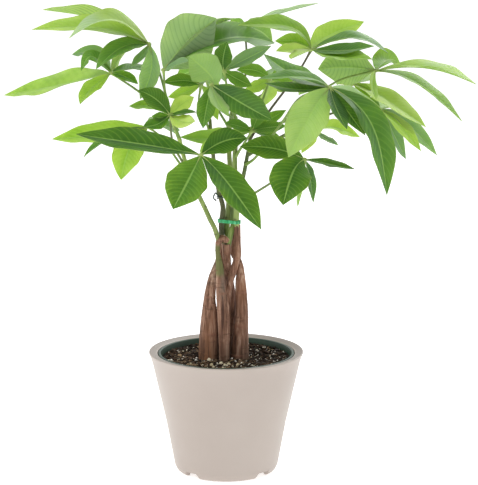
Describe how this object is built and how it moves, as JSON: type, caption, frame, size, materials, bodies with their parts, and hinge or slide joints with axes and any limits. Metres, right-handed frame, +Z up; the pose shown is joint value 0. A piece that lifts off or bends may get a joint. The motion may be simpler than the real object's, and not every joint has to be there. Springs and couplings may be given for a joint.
{
  "type": "potted money tree",
  "caption": "Braided-trunk house plant with hand-shaped compound leaves, standing in a nursery pot inside a plain tapered outer pot.",
  "frame": {"origin": "on the pot's axis at the foot, centred under the whole plant's bounding box", "axes": "+Z up, -Y towards the front of the plant as pictured, +X to its right"},
  "size_m": [0.4704, 0.2936, 0.469],
  "materials": {
    "outer_pot": "warm grey moulded plastic, smooth, low sheen",
    "grow_pot": "dark green thin nursery plastic, slight gloss",
    "soil": "dark potting mix with bark chips, perlite and fine roots",
    "bark": "brown bark, lengthwise cracks, leaf scars and pale cut ends",
    "green_stem": "smooth olive to brown green stems with small bud scars",
    "tie": "bright green stretch tie band, satin",
    "wire": "dark green coated wire tie",
    "leaf": "fresh green leaf, satin, pale midrib and side veins, lit through at the top"
  },
  "bodies": {
    "root": {"outer_pot": "outer_pot", "grow_pot": "grow_pot", "soil": "soil", "trunk_1": "bark", "trunk_2": "bark", "trunk_3": "bark", "trunk_4": "bark", "trunk_5": "bark", "shoot_1": "green_stem", "shoot_2": "green_stem", "shoot_3": "green_stem", "shoot_4": "green_stem", "shoot_5": "green_stem", "green_tie": "tie", "twist_tie": "wire", "leaf_01": "leaf", "leaf_02": "leaf", "leaf_03": "leaf", "leaf_04": "leaf", "leaf_05": "leaf", "leaf_06": "leaf", "leaf_07": "leaf", "leaf_08": "leaf", "leaf_09": "leaf", "leaf_10": "leaf", "leaf_11": "leaf", "leaf_12": "leaf", "leaf_13": "leaf", "leaf_14": "leaf", "leaf_15": "leaf", "leaf_16": "leaf", "leaf_17": "leaf", "leaf_18": "leaf", "leaf_19": "leaf", "leaf_20": "leaf", "leaf_21": "leaf"}
  },
  "joints": []
}
